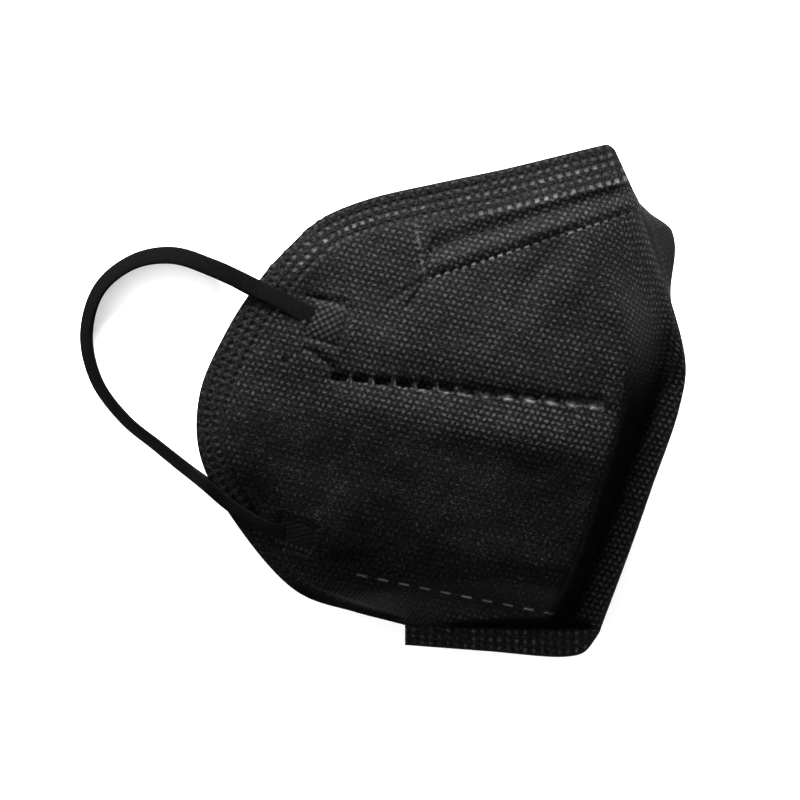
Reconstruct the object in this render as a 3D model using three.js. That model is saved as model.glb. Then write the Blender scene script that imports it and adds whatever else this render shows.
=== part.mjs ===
// Fold-flat respirator mask with two elastic ear loops, opened a little and lying on its left half.
// Millimetres, +Z up. +X is the front of the mask, +Y its nose, and the centre fold lies level.

import * as THREE from 'three';

// ---- driving dimensions ----
const WALL = 1.4;            // the cloth laminate of both panels
const GAP = 0.3;             // left between pieces that meet
const FOLD_HEIGHT = 26;      // of the centre fold above the surface that the mask lies on
const CHEEK_CELLS = 26;      // mesh cells from the cheek edge to the fold
const CHIN_CELLS = 30;       // mesh cells from the chin seam to the top edge
const SLOPE_STEP = 0.002;    // step in u and v that slopes are measured with
const NEWTON_STEPS = 12;     // enough to find any plan place to a thousandth of a millimetre
const FOLD_PACKING = 1.35;   // over 1 packs the mesh cells towards the fold
const CHIN_PACKING = 1.2;    // and towards the chin seam

const STRAP = { width: 4.6, thickness: 0.9, clearance: 0.7, steps: 64 };
const WELD = { thickness: 0.7, cells: 5 };
const CHIN_FLANGE = { thickness: 2.2, cells: 20 };
const CHANNEL = { width: 6.6, thickness: 1.2, clearance: 0.5, overFold: 0.6, steps: 18, cells: 3 };

// ---- plan outline of one half, seen square to the fold ----
const CHEEK_EDGE = [
  { x: 5.5, y: -56.25 },
  { x: -7, y: -52.75 },
  { x: -21, y: -47.5 },
  { x: -34.75, y: -32.5 },
  { x: -45, y: -14 },
  { x: -45.25, y: 1.25 },
  { x: -39, y: 16.25 },
  { x: -29.25, y: 31.25 },
  { x: -18.75, y: 42.5 },
];
const TOP_EDGE = [
  { x: -18.75, y: 42.5 },
  { x: -12.75, y: 46.25 },
  { x: -2.75, y: 50 },
  { x: 13.5, y: 53.75 },
  { x: 31, y: 57.5 },
  { x: 57.25, y: 64.25 },
];
const CENTRE_FOLD = [
  { x: 54.5, y: -57 },
  { x: 62.25, y: -36.25 },
  { x: 67.5, y: -21.25 },
  { x: 74, y: -2.5 },
  { x: 75.75, y: 8.75 },
  { x: 71.25, y: 27.5 },
  { x: 66.75, y: 41.25 },
  { x: 62.5, y: 52.5 },
  { x: 57.25, y: 64.25 },
];
const CHIN_LINE = [
  { x: 5.5, y: -56.25 },
  { x: 54.5, y: -57 },
];
const FLANGE_EDGE = [
  { x: 5.5, y: -61.25 },
  { x: 26, y: -62.8 },
  { x: 45.5, y: -64.2 },
  { x: 50.2, y: -63.1 },
  { x: 53, y: -59.8 },
  { x: 54.2, y: -57.9 },
];

// ---- how far one half bulges from the fold's plane, in evenly spaced sections from chin to top ----
// keel: flat pressed fold; rise: width of the slope up from it; round: 0 for a keeled fold, 1 for a
// round one; shoulder: height at the fold's side; crown: extra height between; cheek: height at the edge
const SECTIONS = [
  { keel: 7.5, rise: 8, round: 0.0, shoulder: 19.0, crown: 3.0, cheek: 5.0 },
  { keel: 7.5, rise: 8, round: 0.0, shoulder: 22.0, crown: 4.5, cheek: 15.0 },
  { keel: 7.3, rise: 9, round: 0.0, shoulder: 22.5, crown: 6.0, cheek: 19.0 },
  { keel: 6.0, rise: 11, round: 0.0, shoulder: 22.5, crown: 6.5, cheek: 20.0 },
  { keel: 2.0, rise: 14, round: 0.4, shoulder: 21.5, crown: 5.0, cheek: 19.5 },
  { keel: 0.0, rise: 22, round: 0.9, shoulder: 16.5, crown: 3.0, cheek: 18.0 },
  { keel: 0.0, rise: 28, round: 1.0, shoulder: 9.0, crown: 2.0, cheek: 15.0 },
];
// Width of the slope up from the chin seam, and how far it is round rather than S-shaped
const CHIN_RISE = { front: 8, cheek: 30, round: 0.45 };
// Bulge of the left half beside the nose, which spreads less above its middle than below it
const NOSE_BULGE = { size: 9, at: 0.818, above: 0.045, below: 0.09, reach: 3 };

// ---- pressed lines that dent both panels ----
const PRESSED_LINES = [
  { fromX: -12.5, fromY: 6.25, toX: 54.25, toY: -1.25, depth: 1.2, spread: 2.6 },
  { fromX: -6.25, fromY: -43, toX: 41.25, toY: -53, depth: 0.7, spread: 2.2 },
];

// ---- places of the pieces that are fixed on a panel ----
const CHANNEL_LINE = { fromX: 12.5, fromY: 33.6, toX: 63.4, toY: 50.2 };
const UPPER_WELD = { x: -13.6, y: 18.9, width: 9.4, height: 10.4, turn: -18 };
const LOWER_WELD = { x: -21.6, y: -33.2, width: 9.4, height: 7.4, turn: -18 };

// Centre line of a strap where it lies on a panel, from the upper weld out and back in to the lower one.
const UPPER_LEAD = [
  { x: -18.9, y: 21.2 },
  { x: -25, y: 24.5 },
  { x: -31, y: 27.3 },
];
const LOWER_LEAD = [
  { x: -38.5, y: -25 },
  { x: -33, y: -28.8 },
  { x: -27.4, y: -31.6 },
];

// Free stretch of the right loop, from above the cheek edge round to below it. tilt is in degrees.
const RIGHT_LOOP = [
  { x: -42, y: 32.6, z: 44.8, tilt: 12 },
  { x: -52, y: 35.75, z: 42, tilt: 20 },
  { x: -62, y: 34.2, z: 38, tilt: 34 },
  { x: -70.5, y: 27.5, z: 34, tilt: 44 },
  { x: -74, y: 16.25, z: 31, tilt: 50 },
  { x: -71.5, y: 5, z: 30.5, tilt: 52 },
  { x: -64.6, y: -4.4, z: 32.5, tilt: 55 },
  { x: -55.7, y: -11.6, z: 36.5, tilt: 52 },
  { x: -48.6, y: -17.1, z: 41.5, tilt: 42 },
  { x: -43.6, y: -20.9, z: 46.8, tilt: 26 },
];

// The left loop lies on the surface, standing on its edge, straight below the right one.
const LEFT_LOOP = [
  { x: -43, y: 33.4, z: 2.65, tilt: 50 },
  { x: -53.2, y: 36.6, z: 2.7, tilt: 66 },
  { x: -63.2, y: 34.9, z: 2.7, tilt: 70 },
  { x: -71.5, y: 27.9, z: 2.7, tilt: 70 },
  { x: -74.7, y: 16.4, z: 2.7, tilt: 70 },
  { x: -72.2, y: 5, z: 2.7, tilt: 70 },
  { x: -65.3, y: -4.5, z: 2.7, tilt: 70 },
  { x: -56.5, y: -11.8, z: 2.7, tilt: 66 },
  { x: -49.6, y: -17.4, z: 2.4, tilt: 56 },
  { x: -44, y: -21.6, z: 2.2, tilt: 42 },
];

const TINT = {
  cloth: new THREE.MeshStandardMaterial({ color: 0x17181a, roughness: 0.8, metalness: 0 }),
  elastic: new THREE.MeshStandardMaterial({ color: 0x1d1d1f, roughness: 0.95, metalness: 0 }),
  weld: new THREE.MeshStandardMaterial({ color: 0x242528, roughness: 0.45, metalness: 0 }),
};

// ---- small helpers ----
const mix = (from, to, share) => from + (to - from) * share;
const clamp01 = (value) => Math.min(1, Math.max(0, value));
const smooth = (value) => clamp01(value) ** 2 * (3 - 2 * clamp01(value));

function curveThrough(rows) {
  const points = rows.map((row) => new THREE.Vector3(row.x, row.y, row.z ?? 0));
  return new THREE.CatmullRomCurve3(points, false, 'centripetal');
}

const cheekEdge = curveThrough(CHEEK_EDGE);
const topEdge = curveThrough(TOP_EDGE);
const centreFold = curveThrough(CENTRE_FOLD);
const chinLine = curveThrough(CHIN_LINE);

// One column of SECTIONS at v, on a smooth curve through its rows.
function sectionValue(column, v) {
  const last = SECTIONS.length - 1;
  const place = clamp01(v) * last;
  const row = Math.min(last - 1, Math.floor(place));
  const pick = (index) => SECTIONS[Math.min(last, Math.max(0, index))][column];
  const t = place - row;
  const [a, b, c, d] = [pick(row - 1), pick(row), pick(row + 1), pick(row + 2)];
  const bend = (2 * a - 5 * b + 4 * c - d) * t * t + (3 * b - a - 3 * c + d) * t ** 3;
  return Math.max(0, b + 0.5 * ((c - a) * t + bend));
}

// Plan place of (u, v): u runs from the cheek edge to the fold, v from the chin seam to the top edge.
function planPoint(u, v) {
  const across = cheekEdge.getPointAt(v).multiplyScalar(1 - u);
  across.addScaledVector(centreFold.getPointAt(v), u);
  const along = chinLine.getPointAt(u).multiplyScalar(1 - v);
  along.addScaledVector(topEdge.getPointAt(u), v);
  const lowCorners = chinLine.getPointAt(0).lerp(chinLine.getPointAt(1), u);
  const highCorners = topEdge.getPointAt(0).lerp(topEdge.getPointAt(1), u);
  return across.add(along).sub(lowCorners.lerp(highCorners, v));
}

// A slope of pointAt at value, between the two nearest values a step away that lie in 0 to 1.
function slope(pointAt, value) {
  const low = Math.max(0, value - SLOPE_STEP);
  const high = Math.min(1, value + SLOPE_STEP);
  return pointAt(high).sub(pointAt(low)).divideScalar(high - low);
}

// The u and v of a plan place, by Newton steps.
function locate(x, y) {
  let [u, v] = [0.5, 0.5];
  for (let step = 0; step < NEWTON_STEPS; step += 1) {
    const miss = new THREE.Vector3(x, y, 0).sub(planPoint(u, v));
    const alongU = slope((value) => planPoint(value, v), u);
    const alongV = slope((value) => planPoint(u, value), v);
    const area = alongU.x * alongV.y - alongU.y * alongV.x;
    u = clamp01(u + (miss.x * alongV.y - miss.y * alongV.x) / area);
    v = clamp01(v + (miss.y * alongU.x - miss.x * alongU.y) / area);
  }
  return [u, v];
}

function pressedDepth(plan) {
  let depth = 0;
  for (const line of PRESSED_LINES) {
    const along = new THREE.Vector3(line.toX - line.fromX, line.toY - line.fromY, 0);
    const reach = plan.clone().sub(new THREE.Vector3(line.fromX, line.fromY, 0));
    const share = clamp01(reach.dot(along) / along.lengthSq());
    const miss = reach.addScaledVector(along, -share).length();
    depth += line.depth * Math.exp(-((miss / line.spread) ** 2));
  }
  return depth;
}

// Outer surface of a half: side is 1 for the right, upper half and -1 for the left, lower one.
function outerPoint(side, u, v) {
  const plan = planPoint(u, v);
  const fromFold = plan.distanceTo(centreFold.getPointAt(v));
  const width = cheekEdge.getPointAt(v).distanceTo(centreFold.getPointAt(v));
  const round = clamp01(sectionValue('round', v));
  const rise = sectionValue('rise', v);
  const keeled = smooth((fromFold - sectionValue('keel', v)) / rise);
  const rounded = Math.sqrt(1 - (1 - clamp01(fromFold / rise)) ** 2);
  const fromChin = plan.distanceTo(chinLine.getPointAt(u));
  const chinPlace = clamp01(fromChin / mix(CHIN_RISE.cheek, CHIN_RISE.front, Math.sqrt(u)));
  const chinRound = Math.sqrt(1 - (1 - chinPlace) ** 2);
  const chinShare = mix(smooth(chinPlace), chinRound, CHIN_RISE.round);
  const share = fromFold / width;
  const body = mix(sectionValue('shoulder', v), sectionValue('cheek', v), share)
    + sectionValue('crown', v) * Math.sin(Math.PI * share);
  const lift = mix(keeled, rounded, round) * chinShare;
  const base = mix(WALL + GAP / 2, GAP / 2, round);
  const height = base + lift * (body - base) - pressedDepth(plan) * lift;
  if (side < 0) {
    const spread = v > NOSE_BULGE.at ? NOSE_BULGE.above : NOSE_BULGE.below;
    const bulge = NOSE_BULGE.size * Math.exp(-(((v - NOSE_BULGE.at) / spread) ** 2));
    const reach = fromFold / NOSE_BULGE.reach;
    plan.x += bulge * reach * Math.exp(1 - reach);
  }
  return new THREE.Vector3(plan.x, plan.y, Math.max(0, FOLD_HEIGHT + side * height));
}

function outwardNormal(side, u, v) {
  const alongU = slope((value) => outerPoint(side, value, v), u);
  const alongV = slope((value) => outerPoint(side, u, value), v);
  return alongU.cross(alongV).normalize().multiplyScalar(side);
}

// A point off the panel's outer surface, by a distance along its normal.
function offPanel(side, u, v, distance) {
  return outerPoint(side, u, v).addScaledVector(outwardNormal(side, u, v), distance);
}

// A closed wall between two grids of points: front faces out, back lies behind it.
function wall(front, back) {
  const [rows, columns] = [front.length, front[0].length];
  const positions = [...front, ...back].flat().flatMap((point) => [point.x, point.y, point.z]);
  const indices = [];
  const at = (i, j, layer) => layer * rows * columns + i * columns + j;
  const quad = (a, b, c, d) => indices.push(a, b, c, a, c, d);
  for (let i = 0; i < rows - 1; i += 1) {
    for (let j = 0; j < columns - 1; j += 1) {
      quad(at(i, j, 0), at(i + 1, j, 0), at(i + 1, j + 1, 0), at(i, j + 1, 0));
      quad(at(i, j, 1), at(i, j + 1, 1), at(i + 1, j + 1, 1), at(i + 1, j, 1));
    }
  }
  for (let i = 0; i < rows - 1; i += 1) {
    quad(at(i, 0, 0), at(i, 0, 1), at(i + 1, 0, 1), at(i + 1, 0, 0));
    quad(at(i, columns - 1, 0), at(i + 1, columns - 1, 0), at(i + 1, columns - 1, 1), at(i, columns - 1, 1));
  }
  for (let j = 0; j < columns - 1; j += 1) {
    quad(at(0, j, 0), at(0, j + 1, 0), at(0, j + 1, 1), at(0, j, 1));
    quad(at(rows - 1, j, 0), at(rows - 1, j, 1), at(rows - 1, j + 1, 1), at(rows - 1, j + 1, 0));
  }
  const geometry = new THREE.BufferGeometry();
  geometry.setAttribute('position', new THREE.Float32BufferAttribute(positions, 3));
  geometry.setIndex(indices);
  geometry.computeVertexNormals();
  return geometry;
}

function grid(rows, columns, pointAt) {
  const rowOf = (i) => Array.from({ length: columns + 1 }, (_, j) => pointAt(i / rows, j / columns));
  return Array.from({ length: rows + 1 }, (_, i) => rowOf(i));
}

function piece(name, geometry, material) {
  const mesh = new THREE.Mesh(geometry, material);
  mesh.name = name;
  return mesh;
}

// ---- the pieces ----
const nearFold = (share) => 1 - (1 - share) ** FOLD_PACKING;
const nearChin = (share) => share ** CHIN_PACKING;

function panel(side) {
  const pointOff = (distance) => (i, j) => {
    const spot = offPanel(side, nearFold(side > 0 ? i : 1 - i), nearChin(j), distance);
    const clear = Math.max(GAP / 2, side * (spot.z - FOLD_HEIGHT));
    return spot.setZ(FOLD_HEIGHT + side * clear);
  };
  const front = grid(CHEEK_CELLS, CHIN_CELLS, pointOff(0));
  const back = grid(CHEEK_CELLS, CHIN_CELLS, pointOff(-WALL));
  return wall(front, back);
}

function chinSeam() {
  const edge = curveThrough(FLANGE_EDGE);
  const pointAt = (z) => (i, j) => {
    const high = chinLine.getPointAt(i);
    high.y -= GAP;
    return edge.getPointAt(i).lerp(high, j).setZ(FOLD_HEIGHT + z);
  };
  const half = CHIN_FLANGE.thickness / 2;
  return wall(grid(CHIN_FLANGE.cells, 2, pointAt(half)), grid(CHIN_FLANGE.cells, 2, pointAt(-half)));
}

// The wire's cover runs along the right panel, over the bridge of the nose and back along the left one.
function noseWireChannel() {
  const { fromX, fromY, toX, toY } = CHANNEL_LINE;
  const across = new THREE.Vector3(fromY - toY, toX - fromX, 0).normalize();
  const pointOff = (distance) => (i, j) => {
    const side = i <= 0.5 ? 1 : -1;
    const share = 1 - Math.abs(2 * i - 1);
    const eased = Math.sin(share * Math.PI / 2);
    const offset = (j - 0.5) * CHANNEL.width;
    const [x, y] = [mix(fromX, toX, eased) + across.x * offset, mix(fromY, toY, eased) + across.y * offset];
    const [u, v] = share === 1 ? [1, locate(x, y)[1]] : locate(x, y);
    if (share < 1) {
      return offPanel(side, u, v, distance);
    }
    const tip = outerPoint(1, 1, v).lerp(outerPoint(-1, 1, v), 0.5);
    return tip.add(new THREE.Vector3(distance + CHANNEL.overFold, 0, 0));
  };
  const rows = 2 * CHANNEL.steps;
  const low = grid(rows, CHANNEL.cells, pointOff(CHANNEL.clearance));
  const high = grid(rows, CHANNEL.cells, pointOff(CHANNEL.clearance + CHANNEL.thickness));
  return wall(high, low);
}

function loopWeld(side, place) {
  const turn = THREE.MathUtils.degToRad(place.turn);
  const pointOff = (distance) => (i, j) => {
    const [a, b] = [(i - 0.5) * place.width, (j - 0.5) * place.height];
    const x = place.x + a * Math.cos(turn) - b * Math.sin(turn);
    const y = place.y + a * Math.sin(turn) + b * Math.cos(turn);
    return offPanel(side, ...locate(x, y), distance);
  };
  const high = grid(WELD.cells, WELD.cells, pointOff(GAP + WELD.thickness));
  const low = grid(WELD.cells, WELD.cells, pointOff(GAP));
  return side > 0 ? wall(high, low) : wall(low, high);
}

// A flat strap along rows of a centre line, turned about it by each row's tilt.
function strap(rows) {
  const curve = curveThrough(rows);
  const tiltCurve = curveThrough(rows.map((row, index) => ({ x: index, y: row.tilt })));
  const faceAt = (height) => (i, j) => {
    const centre = curve.getPoint(i);
    const along = curve.getTangent(i);
    const level = new THREE.Vector3(-along.y, along.x, 0).normalize();
    level.applyAxisAngle(along, THREE.MathUtils.degToRad(tiltCurve.getPoint(i).y));
    const up = along.clone().cross(level);
    return centre.addScaledVector(level, (j - 0.5) * STRAP.width).addScaledVector(up, height);
  };
  const half = STRAP.thickness / 2;
  return wall(grid(STRAP.steps, 1, faceAt(half)), grid(STRAP.steps, 1, faceAt(-half)));
}

// Rows of a strap's centre line where it lies on a panel, tilted as the panel is.
function onPanel(side, rows) {
  const first = rows[0];
  const last = rows[rows.length - 1];
  const along = new THREE.Vector3(last.x - first.x, last.y - first.y, 0).normalize();
  const level = new THREE.Vector3(-along.y, along.x, 0);
  return rows.map((row) => {
    const place = locate(row.x, row.y);
    const spot = offPanel(side, ...place, STRAP.clearance + STRAP.thickness / 2);
    const normal = outwardNormal(side, ...place).multiplyScalar(side);
    const tilt = -THREE.MathUtils.radToDeg(Math.atan2(level.dot(normal), normal.z));
    return { x: spot.x, y: spot.y, z: spot.z, tilt };
  });
}

function earLoop(side, freeRows) {
  return strap([...onPanel(side, UPPER_LEAD), ...freeRows, ...onPanel(side, LOWER_LEAD)]);
}

const mask = new THREE.Group();
mask.add(piece('right_panel', panel(1), TINT.cloth));
mask.add(piece('left_panel', panel(-1), TINT.cloth));
mask.add(piece('chin_seam', chinSeam(), TINT.cloth));
mask.add(piece('nose_wire_channel', noseWireChannel(), TINT.cloth));
mask.add(piece('right_ear_loop', earLoop(1, RIGHT_LOOP), TINT.elastic));
mask.add(piece('left_ear_loop', earLoop(-1, LEFT_LOOP), TINT.elastic));
for (const [sideName, side] of [['right', 1], ['left', -1]]) {
  mask.add(piece(`${sideName}_upper_loop_weld`, loopWeld(side, UPPER_WELD), TINT.weld));
  mask.add(piece(`${sideName}_lower_loop_weld`, loopWeld(side, LOWER_WELD), TINT.weld));
}

export default mask;
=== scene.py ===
"""Looks of a fold-flat respirator mask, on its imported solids. Its tables are in millimetres."""
import bpy
import math
import numpy as np
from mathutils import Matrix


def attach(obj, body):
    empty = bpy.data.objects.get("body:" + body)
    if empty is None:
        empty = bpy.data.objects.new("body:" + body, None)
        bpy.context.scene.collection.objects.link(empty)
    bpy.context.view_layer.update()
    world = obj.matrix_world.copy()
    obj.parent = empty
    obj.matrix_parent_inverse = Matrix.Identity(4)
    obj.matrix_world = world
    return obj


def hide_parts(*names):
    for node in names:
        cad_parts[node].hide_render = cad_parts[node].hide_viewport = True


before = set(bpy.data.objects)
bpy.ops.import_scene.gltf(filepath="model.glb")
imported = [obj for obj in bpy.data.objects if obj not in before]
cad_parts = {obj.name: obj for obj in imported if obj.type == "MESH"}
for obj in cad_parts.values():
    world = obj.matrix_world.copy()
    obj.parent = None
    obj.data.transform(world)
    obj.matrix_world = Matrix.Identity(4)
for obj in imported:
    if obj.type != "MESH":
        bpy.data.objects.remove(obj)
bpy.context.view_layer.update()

MM = 0.001
FOLD_HEIGHT = 26.0           # of the centre fold above the floor

# ---- camera: straight above the mask, as it lies on its left half
CAMERA = {"x": 4.25, "view_width": 200.0, "distance": 1400.0, "sensor": 36.0}


def add_object(name, data):
    thing = bpy.data.objects.new(name, data)
    bpy.context.scene.collection.objects.link(thing)
    return thing


def add_camera():
    data = bpy.data.cameras.new("camera")
    data.sensor_width = CAMERA["sensor"]
    data.lens = CAMERA["sensor"] * CAMERA["distance"] / CAMERA["view_width"]
    data.clip_end = 10.0
    camera = add_object("camera", data)
    camera.location = (CAMERA["x"] * MM, 0.0, (FOLD_HEIGHT + CAMERA["distance"]) * MM)
    bpy.context.scene.camera = camera


add_camera()

# ---- plan outline of one half, as the solids have it
CHEEK_EDGE = [
    (5.5, -56.25), (-7, -52.75), (-21, -47.5), (-34.75, -32.5), (-45, -14),
    (-45.25, 1.25), (-39, 16.25), (-29.25, 31.25), (-18.75, 42.5),
]
TOP_EDGE = [(-18.75, 42.5), (-12.75, 46.25), (-2.75, 50), (13.5, 53.75), (31, 57.5), (57.25, 64.25)]
CENTRE_FOLD = [
    (54.5, -57), (62.25, -36.25), (67.5, -21.25), (74, -2.5), (75.75, 8.75),
    (71.25, 27.5), (66.75, 41.25), (62.5, 52.5), (57.25, 64.25),
]
CHIN_LINE = [(5.5, -56.25), (54.5, -57)]
FLANGE_EDGE = [(5.5, -61.25), (26, -62.8), (45.5, -64.2), (50.2, -63.1), (53, -59.8), (54.2, -57.9)]

# ---- evenly spaced sections of one half, from chin to top
SECTIONS = {
    "keel": (7.5, 7.5, 7.3, 6, 2, 0, 0),
    "rise": (8, 8, 9, 11, 14, 22, 28),
    "round": (0, 0, 0, 0, 0.4, 0.9, 1),
    "shoulder": (19, 22, 22.5, 22.5, 21.5, 16.5, 9),
    "crown": (3, 4.5, 6, 6.5, 5, 3, 2),
    "cheek": (5, 15, 19, 20, 19.5, 18, 15),
}
CHIN_RISE = {"front": 8, "cheek": 30, "round": 0.45}    # the rise's width at both ends, and how round it is
NOSE_BULGE = {"size": 9, "at": 0.818, "above": 0.045, "below": 0.118, "reach": 3}

# ---- cloth and its meshes
# thickness of the wall and where it is pressed, and cells along each side of the outer and the inner face
CLOTH = {"wall": 1.2, "pressed": 0.9, "fine": 300, "coarse": 75}
CHANGES = ("melted", "banded", "calm", "gathered", "plain", "dull", "bold")     # what the cloth's material reads

# ---- welded band along the free edge
BAND = {"pitch": 2.3, "half": 0.54, "soft": 0.3, "fade": 0.9, "pressed": 0.35, "rim": 0.3}
# Rows of squares: distance in from the edge, half width, strength of their painted glint
BAND_ROWS = [(0.5, 0.3, 0.25), (2.65, 0.52, 0.55), (4.95, 0.56, 0.95), (7.2, 0.48, 0.5), (9.5, 0.58, 1.2)]
# Along the edge from the chin to the top: share, width of the band, depth of its squares, how bright their painted
# glint is
BAND_CHANGES = [
    (0, 2.6, 0.35, 0.02), (0.12, 3.8, 0.45, 0.02), (0.24, 6.4, 0.45, 0.05), (0.42, 8.2, 0.48, 0.08),
    (0.55, 8.2, 0.5, 0.09), (0.62, 8.3, 0.42, 0.34), (0.68, 8.5, 0.4, 0.34), (0.76, 9, 0.38, 0.2),
    (0.84, 10.5, 0.35, 0.2), (1, 10.6, 0.35, 0.28),
]

# ---- rows of pits welded into both panels
# half width, depth, slant (how far a pit's floor climbs to its lower edge) and bright are at the row's start and end
# bright above 0 is a painted glint in the pits and below 0 painted shade in them; spot and bars are painted glints too
PIT_ROWS = [
    {"from": (-10.6, 5.6), "to": (52.6, -1.1), "count": 13, "wide": (2, 1.75), "tall": 0.95, "depth": (1.7, 0.8),
     "slant": (0.35, 0.9), "bright": (-1, 0.22), "spot": 1.3, "bars": 0.3, "valley": 0.9, "spread": 2.4, "pinch": 0.3},
    {"from": (-5.1, -43.3), "to": (41.3, -53), "count": 10, "wide": (1.25, 1.25), "tall": 0.16, "depth": (0.35, 0.35),
     "slant": (0.8, 0.8), "bright": (0.95, 0.95), "spot": 0, "bars": 0, "valley": 0.5, "spread": 2, "pinch": 0.15},
    {"from": (8.1, 43.2), "to": (10.3, 30.2), "count": 8, "wide": (0.35, 0.35), "tall": 0.4, "depth": (0.2, 0.2),
     "slant": (0.5, 0.5), "bright": (0.25, 0.25), "spot": 0, "bars": 0, "valley": 0.12, "spread": 1.1, "pinch": 0.3},
]

# ---- the nose wire's cover: a ridge from its groove to its weld
RIDGE = {"groove": ((11.4, 37.6), (62.35, 53.2)), "weld": ((10.4, 29.4), (65, 47.4)), "flange": 1.1,
         "bed": 0.8, "groove_depth": 1.2, "groove_reach": (4.2, 1.9), "rows": 230, "columns": 56}
# Height over the panel from the groove to the flange's edge: a slow climb, a crest low down and a steep drop
RIDGE_PROFILE = ((0, -0.1), (0.07, 0), (0.2, 0.25), (0.38, 0.65), (0.52, 0.8), (0.65, 0.7), (0.76, 0.45),
                 (0.83, 0.15), (0.88, 0), (0.94, -0.04), (1, -0.04))

UPPER_WELD = {"at": (-13.6, 18.9), "size": (9.4, 10.4), "turn": -18}
LOWER_WELD = {"at": (-21.6, -33.2), "size": (9.4, 7.4), "turn": -18}
WELD_PAD = {"height": 0.30, "knurl": 0.22, "cells": 72, "round": 1.3, "sunk": 0.06, "below": 0.2}
PITS = [(-24, 9.75, 0.45, 1.3), (-27.5, 12.2, 0.35, 0.6)]     # single pricks: place, radius, depth

# Soft dents (-) and swells (+): place, reach along and across, turn of the long way, height
SOFT_FORMS = [
    ((20, 11), (34, 6), -6, 0.8), ((34, -9), (26, 5), -8, 1.5), ((-4, 0), (16, 6), -8, 0.5),
    ((38, 31), (11, 3), 55, -1), ((47, 30), (9, 4), 60, 0.7), ((8, 22), (18, 7), 20, 0.5),
    ((-22, 30), (12, 5), 40, 0.5), ((-30, -8), (10, 14), 10, 0.7), ((10, -30), (26, 9), -10, 0.8),
    ((30, -40), (22, 5), -10, 0.6), ((-14, -42), (16, 4), -22, -0.7), ((52, 12), (6, 16), -10, 0.6),
    ((5.5, -53), (4, 3), 0, 0.9),
]
# Patches of painted shade: place, reach along and across, turn, how much
PAINTED_SHADE_PATCHES = [
    ((-31, -22), (8, 5), -55, 0.7), ((-9, -37), (13, 4), -14, 0.6), ((-19, 29), (10, 4), 25, 0.35),
    ((52, 30), (12, 6), 60, 0.3), ((20, -48), (24, 3), -10, 0.4), ((-36, -28), (6, 4), -50, 0.5),
]
# Sharp creases: start, end, depth, spread
CREASES = [
    ((10.4, 29), (6.5, 23.4), 0.7, 0.7), ((10, 29.5), (1.5, 24.5), 0.4, 0.8), ((-18.2, 12.4), (-12, 8), 0.8, 0.9),
    ((-18.5, 25.5), (-9, 24), 0.7, 0.8), ((18, -57), (52, -57.2), 0.6, 1.2),
]
LOFT_WAVES = ((30, 0.4), (17, 0.2), (8, 0.05), (5, 0.025), (3, 0.015))      # uneven loft: length, height
# Bond points fade between these lines, as painted shade of the dimmer middle, and the cloth is gathered beside this
# one
CALM_BELOW, CALM_ABOVE = ((-28, 3), (45, -9)), ((-12, -46), (44, -56))
GATHERED_BELOW = ((-22, -42), (18, -53))
CHIN_CREASE = ((12, -55.6), (50, -57))      # a crease above the chin seam, darkened with painted shade
RIM_STRIPES = {"height": 0.13, "pitch": 1.5, "slant": 0.9, "width": 4.2, "at": 8, "reach": 16}
SEAM = {"width": 7, "column": 2.15, "row": 2.2, "half": 0.85, "round": 0.7, "pressed": 0.3}
FAR = 99.0                                  # distance of a place that is too far off to matter


def ease(x, width=1.0):
    """A smooth rise from 0 at 0 to 1 at width."""
    x = np.clip(x / width, 0.0, 1.0)
    return x * x * (3 - 2 * x)


def soft_box(x, half, soft):
    """1 within half of 0 and 0 past it, over a slope as wide as soft."""
    return ease(half + soft / 2 - np.abs(x), soft)


def quarter_round(x):
    """A quarter circle's rise, from 0 at 0 to 1 at 1."""
    return np.sqrt(1 - (1 - np.clip(x, 0, 1)) ** 2)


def in_cell(x, pitch):
    """Distance of x from the middle of its cell, in a row of cells one pitch wide."""
    return (x / pitch - np.floor(x / pitch) - 0.5) * pitch


def cos_sin(degrees):
    return math.cos(math.radians(degrees)), math.sin(math.radians(degrees))


def bell(x):
    return np.exp(-(x**2))


def stacked(*parts):
    return np.stack(np.broadcast_arrays(*parts), axis=-1)


def size_of(vectors):
    return np.linalg.norm(vectors, axis=-1)


def unit(vectors):
    return vectors / size_of(vectors)[..., None]


def cross(a, b):
    return a[..., 0] * b[..., 1] - a[..., 1] * b[..., 0]


def unit_grid(rows, columns):
    """Two grids of even shares from 0 to 1: down the rows, and along the columns."""
    return np.meshgrid(np.linspace(0, 1, rows + 1), np.linspace(0, 1, columns + 1), indexing="ij")


# ---- curves
def curve_points(points, per_span):
    """Places on a smooth (centripetal) curve through points, per_span to each span, and the last point."""
    p = np.array([tuple(q) + (0.0,) * (3 - len(q)) for q in points], float)
    p = np.vstack([2 * p[0] - p[1], p, 2 * p[-1] - p[-2]])
    t = np.linspace(0, 1, per_span, endpoint=False)[:, None]
    spans = []
    for a, b, c, d in zip(p, p[1:], p[2:], p[3:]):
        gaps = [math.sqrt(np.linalg.norm(q - r)) for q, r in ((b, a), (c, b), (d, c))]
        out = ((b - a) / gaps[0] - (c - a) / (gaps[0] + gaps[1]) + (c - b) / gaps[1]) * gaps[1]
        back = ((c - b) / gaps[1] - (d - b) / (gaps[1] + gaps[2]) + (d - c) / gaps[2]) * gaps[1]
        spans.append(b + out * t + (3 * (c - b) - 2 * out - back) * t**2 + (2 * (b - c) + out + back) * t**3)
    return np.vstack(spans + [p[-2:-1]])


def run_length(line):
    return np.insert(np.cumsum(size_of(np.diff(line, axis=0))), 0, 0)


def line_at(line, where):
    """Places on a line of points, at these lengths along it."""
    return stacked(*(np.interp(where, run_length(line), numbers) for numbers in line.T))


def curve_through(points):
    """The curve through points, as a function of the share of its length."""
    line = curve_points(points, 160)
    at = lambda share: line_at(line, np.clip(share, 0, 1) * run_length(line)[-1])
    at.line = line
    return at


cheek_edge, top_edge, centre_fold, chin_line, flange_edge = map(
    curve_through, (CHEEK_EDGE, TOP_EDGE, CENTRE_FOLD, CHIN_LINE, FLANGE_EDGE))


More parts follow.
